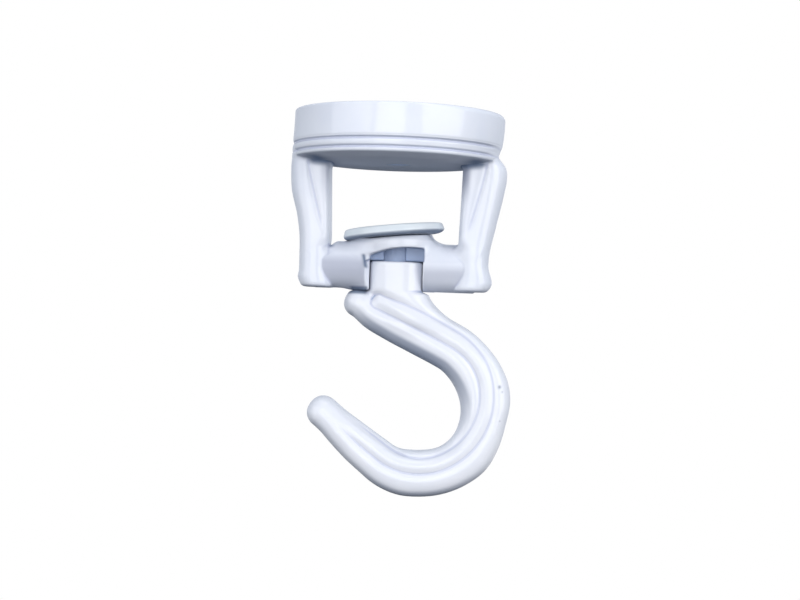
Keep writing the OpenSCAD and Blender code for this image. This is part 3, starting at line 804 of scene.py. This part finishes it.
class Reading:
    """A shader socket that takes part in plain arithmetic. Each operation adds its Math node."""

    def __init__(self, paint, socket):
        self.paint, self.socket = paint, socket

    def _math(self, operation, first, second=None):
        sockets = {0: first} if second is None else {0: first, 1: second}
        return self.paint.put("ShaderNodeMath", {"operation": operation}, sockets).out(0)

    def __add__(self, other):
        return self._math("ADD", self, other)

    def __sub__(self, other):
        return self._math("SUBTRACT", self, other)

    def __rsub__(self, other):
        return self._math("SUBTRACT", other, self)

    def __mul__(self, other):
        return self._math("MULTIPLY", self, other)

    def __truediv__(self, other):
        return self._math("DIVIDE", self, other)

    def __pow__(self, other):
        return self._math("POWER", self, other)

    def __neg__(self):
        return self._math("MULTIPLY", self, -1.0)

    def above(self, other):
        """1 where this is greater than other, 0 elsewhere."""
        return self._math("GREATER_THAN", self, other)

    def most(self, other):
        """The greater of the two."""
        return self._math("MAXIMUM", self, other)

    def bell(self, width):
        """1 at 0, falling off as exp(-(value / width)^2)."""
        return self._math("EXPONENT", -((self / width) ** 2.0))

    def ramp(self, low, high):
        """0 at low and below, 1 at high and above, smooth between."""
        settings = {"interpolation_type": "SMOOTHSTEP", "clamp": True}
        sockets = {"Value": self, "From Min": low, "From Max": high, "To Min": 0.0, "To Max": 1.0}
        return self.paint.put("ShaderNodeMapRange", settings, sockets).out("Result")


class Placed:
    """A node that has been put down, with its outputs as readings."""

    def __init__(self, paint, node):
        self.paint, self.node = paint, node

    def out(self, key):
        return Reading(self.paint, self.node.outputs[key])


class Paint:
    """The node tree of one material, or of the world."""

    def __init__(self, owner):
        self.owner = owner
        owner.use_nodes = True
        self.tree = owner.node_tree
        self.tree.nodes.clear()

    def put(self, kind, settings=None, sockets=None):
        """Adds a node of this type, sets its settings, then its sockets' values or links."""
        node = self.tree.nodes.new(kind)
        for key, value in (settings or {}).items():
            setattr(node, key, value)
        for key, value in (sockets or {}).items():
            if isinstance(value, Reading):
                self.tree.links.new(value.socket, node.inputs[key])
            else:
                node.inputs[key].default_value = value
        return Placed(self, node)

    def mix(self, share, first, second):
        """A colour between first and second."""
        placed = self.put("ShaderNodeMix", {"data_type": "RGBA", "clamp_factor": True},
                          {0: share, 6: first, 7: second})
        return placed.out(2)

    def noise(self, where, size, detail=2.0, roughness=0.5):
        """Noise whose lumps are about size millimetres across."""
        return self.put("ShaderNodeTexNoise", {}, {"Vector": where, "Scale": 1.0 / size,
                                                   "Detail": detail, "Roughness": roughness}).out("Fac")

    def relief(self, height, distance):
        """A normal from a height, for bumps of this distance in metres."""
        sockets = {"Strength": 0.5, "Distance": distance, "Height": height}
        return self.put("ShaderNodeBump", {}, sockets).out("Normal")

    def finish(self, sockets):
        """Closes the tree with a Principled surface."""
        surface = self.put("ShaderNodeBsdfPrincipled", {}, sockets).out("BSDF")
        self.put("ShaderNodeOutputMaterial", {}, {"Surface": surface})
        return self.owner


def in_mm(paint):
    """The object's own coordinates, in millimetres."""
    own = paint.put("ShaderNodeTexCoord").out("Object")
    return paint.put("ShaderNodeVectorMath", {"operation": "SCALE"}, {0: own, "Scale": 1000.0}).out(0)


def enamel(name, tint=(0.84, 0.867, 0.94), shade=(0.805, 0.838, 0.925), below=0.7, pits=(), seam=False):
    """Thick white enamel on a casting. Its colour drifts between two cool whites. Painted shade makes it
    darker and bluer in hollows, and blue-grey where that painted shade is deepest, as in the recess. It
    is a greyer enamel with painted shade where the mesh marks it so, grey on undersides as painted shade,
    and slate under painted shadow and in the stirrup's crack. Elsewhere it is glossy, with the slow
    ripple of sprayed enamel, rare dust nibs and pits, and the seam of the two mould halves shows through
    on the hook. A pit is [x, z, width, strength]."""
    paint = Paint(bpy.data.materials.new(name))
    where = in_mm(paint)
    drift = paint.noise(where, 9.0, 3.0)
    fog = paint.noise(where, 2.2, 2.0)
    hollow_shade, grey_and_shade, dark = (paint.put("ShaderNodeAttribute", {"attribute_name": mark}).out("Fac")
                        for mark in ("hollow_shade", "grey_and_shade", "dark"))
    facing = paint.put("ShaderNodeTexCoord").out("Normal")
    down = -paint.put("ShaderNodeSeparateXYZ", {}, {"Vector": facing}).out("Z")
    under = down.ramp(0.35, 0.9)

    colour = paint.mix(drift.ramp(0.35, 0.65), (*tint, 1), (*shade, 1))
    colour = paint.mix((fog - 0.5) * 0.5, colour, (0.89, 0.87, 0.94, 1))
    # Painted shade from here on: lavender in hollows, grey where the mesh is marked grey and shaded,
    # blue-grey in the deepest hollows, grey on undersides, and slate under painted shadow.
    colour = paint.mix(hollow_shade.ramp(0.03, 0.55) * 0.6, colour, (0.52, 0.55, 0.72, 1))
    colour = paint.mix(grey_and_shade * 0.85, colour, (0.40, 0.425, 0.53, 1))
    colour = paint.mix(hollow_shade.ramp(0.85, 1.0) * 0.8, colour, (0.27, 0.37, 0.56, 1))
    colour = paint.mix(under * (1.0 - grey_and_shade * 0.6) * below, colour, (0.40, 0.445, 0.54, 1))
    colour = paint.mix(dark, colour, (0.10, 0.15, 0.25, 1))

    ripple = paint.noise(where, 1.7, 1.0)
    grit = paint.noise(where, 0.35, 2.0)
    cells = paint.put("ShaderNodeTexVoronoi", {"feature": "F1"}, {"Vector": where, "Scale": 0.42})
    lot = paint.put("ShaderNodeSeparateColor", {}, {"Color": cells.out("Color")})
    nib = (1.0 - cells.out("Distance").ramp(0.0, 0.09)) * lot.out("Red").above(0.80)
    height = ripple * 0.5 + grit * 0.06 + nib * 0.5
    flat = paint.put("ShaderNodeVectorMath", {"operation": "MULTIPLY"}, {0: where, 1: (1.0, 0.0, 1.0)})
    for x, z, width, strength in pits:
        sockets = {0: flat.out(0), 1: (x, 0.0, z)}
        gap = paint.put("ShaderNodeVectorMath", {"operation": "DISTANCE"}, sockets).out("Value")
        dent = gap.bell(width) * strength
        colour = paint.mix(dent, colour, (0.20, 0.23, 0.31, 1))
        height = height - dent * 3.0
    if seam:
        parts = paint.put("ShaderNodeSeparateXYZ", {}, {"Vector": where})
        wander = (paint.noise(where, 6.0, 1.0) - 0.5) * 0.25
        height = height + (parts.out("Y") + wander).bell(0.14) * 0.8
    normal = paint.relief(height, 0.00003)
    gloss = (1.0 - under) * (1.0 - grey_and_shade.most(dark) * 0.9) * (0.85 - fog * 0.25)
    rough = grit * 0.1 + fog * 0.1 + 0.25 + grey_and_shade * 0.3 + under * 0.5
    return paint.finish({"Base Color": colour, "Roughness": rough, "Normal": normal,
                         "Specular IOR Level": 0.1, "Coat Weight": gloss, "Coat Roughness": 0.1})


def struck_steel(name):
    """Zinc-plated steel that has gone matt: grey with a faint yellow drift on the struck head, on the
    shaft a darker blue-grey that is painted shade of the recess round it, almost without shine, with fine
    turning rings round the pin's axis and small lumps from the hammer."""
    paint = Paint(bpy.data.materials.new(name))
    where = in_mm(paint)
    parts = paint.put("ShaderNodeSeparateXYZ", {}, {"Vector": where})
    x, y, z = parts.out("X"), parts.out("Y"), parts.out("Z")
    radius = (x * x + y * y) ** 0.5
    rings = paint.put("ShaderNodeTexNoise", {"noise_dimensions": "1D"},
                      {"W": (radius + z) * 6.0, "Detail": 3.0}).out("Fac")
    lumps = paint.noise(where, 0.8, 3.0)
    shaft = 1.0 - z.ramp(-21.6, -21.2)
    colour = paint.mix(lumps.ramp(0.35, 0.7), (0.50, 0.51, 0.53, 1), (0.62, 0.61, 0.56, 1))
    colour = paint.mix(radius.ramp(3.0, 3.5) * 0.5, colour, (0.30, 0.30, 0.31, 1))
    # Painted shade: the shaft inside the recess is a darker blue-grey.
    shaft_shade = paint.mix(lumps, (0.31, 0.38, 0.53, 1), (0.38, 0.45, 0.60, 1))
    colour = paint.mix(shaft, colour, shaft_shade)
    height = rings * 0.35 + lumps
    normal = paint.relief(height, 0.00005)
    rough = rings * 0.15 + 0.3 + shaft * 0.45
    return paint.finish({"Base Color": colour, "Roughness": rough, "Normal": normal,
                         "Metallic": 1.0 - shaft * 0.85, "Specular IOR Level": 0.2})


def studio_floor():
    """A plain white floor. The camera and reflections see it almost white with its shadow, and
    it throws only a little light back up."""
    paint = Paint(bpy.data.materials.new("studio_floor"))
    path = paint.put("ShaderNodeLightPath")
    seen = path.out("Is Camera Ray").most(path.out("Is Glossy Ray"))
    seen = seen.most(path.out("Is Transmission Ray"))
    dark = paint.put("ShaderNodeBsdfDiffuse", {}, {"Color": (0.06, 0.065, 0.075, 1)}).out("BSDF")
    pale = paint.put("ShaderNodeBsdfDiffuse", {}, {"Color": (0.95, 0.95, 0.95, 1)}).out("BSDF")
    glow = paint.put("ShaderNodeEmission", {}, {"Color": (1, 1, 1, 1), "Strength": 1.0}).out("Emission")
    own = paint.put("ShaderNodeTexCoord").out("Object")
    away = paint.put("ShaderNodeVectorMath", {"operation": "LENGTH"}, {0: own}).out("Value")
    share = away.ramp(0.16, 0.30) * 0.4 + 0.6
    white = paint.put("ShaderNodeMixShader", {}, {0: share, 1: pale, 2: glow}).out(0)
    both = paint.put("ShaderNodeMixShader", {}, {0: seen, 1: dark, 2: white}).out(0)
    paint.put("ShaderNodeOutputMaterial", {}, {"Surface": both})
    return paint.owner


# The pieces.

plate = add_mesh("enamelled_plate", *make_plate())
stirrup = add_mesh("enamelled_stirrup", *make_stirrup())
hook = add_mesh("enamelled_hook", *make_hook())
washer = add_mesh("loose_washer", *make_washer())
pin = add_mesh("struck_pin", *make_pin())

casting = enamel("white_enamel")
hook_enamel = enamel(
    "white_enamel_hook", tint=(0.865, 0.882, 0.94), shade=(0.835, 0.857, 0.925), below=0.45, seam=True,
    pits=[(19.55, -48.45, 0.30, 0.8), (20.05, -49.3, 0.20, 0.4), (19.8, -54.5, 0.15, 0.4)])
washer_enamel = enamel(
    "white_enamel_washer", tint=(0.81, 0.875, 0.91), shade=(0.78, 0.84, 0.885))
steel = struck_steel("plated_steel")

for piece, node, body, finish in (
        (plate, "ceiling_plate", "stirrup_body", casting),
        (stirrup, "stirrup", "stirrup_body", casting),
        (hook, "hook", "hook_body", hook_enamel),
        (washer, "swivel_washer", "washer_body", washer_enamel),
        (pin, "swivel_pin", "hook_body", steel)):
    piece.data.materials.append(finish)
    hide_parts(node)
    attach(piece, body)


# Floor, light and camera.

def add_floor():
    """A square floor well below the object."""
    half, z = 0.32, -0.15
    corners = np.array([[-half, -half, z], [half, -half, z], [half, half, z], [-half, half, z]]) / MM
    floor = add_mesh("floor", corners, [[[0, 1, 2, 3]]])
    floor.data.materials.append(studio_floor())


def add_lamp(name, place, width, height, power, colour, mirrored=True):
    """A rectangular soft light at place, in metres, that faces the middle of the object. It can
    be left out of reflections."""
    lamp = bpy.data.lights.new(name, "AREA")
    lamp.shape, lamp.size, lamp.size_y = "RECTANGLE", width, height
    lamp.energy, lamp.color = power, colour
    thing = bpy.data.objects.new(name, lamp)
    thing.location = place
    ahead = Vector((0, 0, -0.03)) - Vector(place)
    thing.rotation_euler = ahead.to_track_quat("-Z", "Y").to_euler()
    thing.visible_glossy = mirrored
    bpy.context.scene.collection.objects.link(thing)


def add_world():
    """A dim cool room, white where the camera looks straight at it and grey in reflections, so
    that the object's outlines stand out from the white."""
    paint = Paint(bpy.data.worlds.new("studio"))
    path = paint.put("ShaderNodeLightPath")
    seen = path.out("Is Camera Ray").most(path.out("Is Transmission Ray"))

    def room(colour, strength):
        sockets = {"Color": (*colour, 1), "Strength": strength}
        return paint.put("ShaderNodeBackground", {}, sockets).out("Background")

    dim, grey, white = room((0.58, 0.75, 1.0), 0.25), room((0.60, 0.64, 0.72), 1.0), room((1, 1, 1), 1.0)
    unseen = paint.put("ShaderNodeMixShader", {}, {0: path.out("Is Glossy Ray"), 1: dim, 2: grey}).out(0)
    mixed = paint.put("ShaderNodeMixShader", {}, {0: seen, 1: unseen, 2: white}).out(0)
    paint.put("ShaderNodeOutputWorld", {}, {"Surface": mixed})
    bpy.context.scene.world = paint.owner


def add_camera():
    """The photograph's camera: a short telephoto about 300 mm away, two and a half degrees round
    to the right, almost level with the middle of the object and rolled by two degrees."""
    reach, turn, rise, roll = 0.301, math.radians(-2.57), math.radians(-0.33), math.radians(-2.03)
    aim = Vector((0.00112, 0, -0.03355))
    sensor, photo_width, focal_length = 36.0, 800.0, 1667.9
    ahead = Vector((math.sin(turn) * math.cos(rise), math.cos(turn) * math.cos(rise), -math.sin(rise)))
    right = Vector((math.cos(turn), -math.sin(turn), 0.0))
    up = right.cross(ahead)
    across = right * math.cos(roll) - up * math.sin(roll)
    upward = right * math.sin(roll) + up * math.cos(roll)
    data = bpy.data.cameras.new("photo_camera")
    data.sensor_width = sensor
    data.lens = focal_length * sensor / photo_width
    data.clip_start, data.clip_end = 0.01, 10.0
    camera = bpy.data.objects.new("photo_camera", data)
    turned_to = Matrix((across, upward, -ahead)).transposed()
    camera.matrix_world = Matrix.Translation(aim - ahead * reach) @ turned_to.to_4x4()
    bpy.context.scene.collection.objects.link(camera)
    bpy.context.scene.camera = camera


add_floor()
add_world()
add_lamp("front_box", (-0.07, -0.62, 0.0), 0.34, 0.46, 1.38, (1.0, 0.99, 0.98))
add_lamp("top_box", (0.05, -0.18, 0.55), 0.5, 0.4, 1.0, (0.98, 0.99, 1.0))
add_lamp("right_box", (0.72, -0.58, 0.09), 0.8, 0.7, 5.3, (1.0, 0.99, 0.98))
add_lamp("left_box", (-0.72, -0.58, 0.09), 0.8, 0.7, 3.2, (1.0, 0.99, 0.98))
add_lamp("back_box", (0.15, 0.80, 0.16), 1.0, 0.8, 3.6, (0.97, 0.98, 1.0), mirrored=False)
add_camera()
bpy.context.scene.view_settings.view_transform = "Standard"
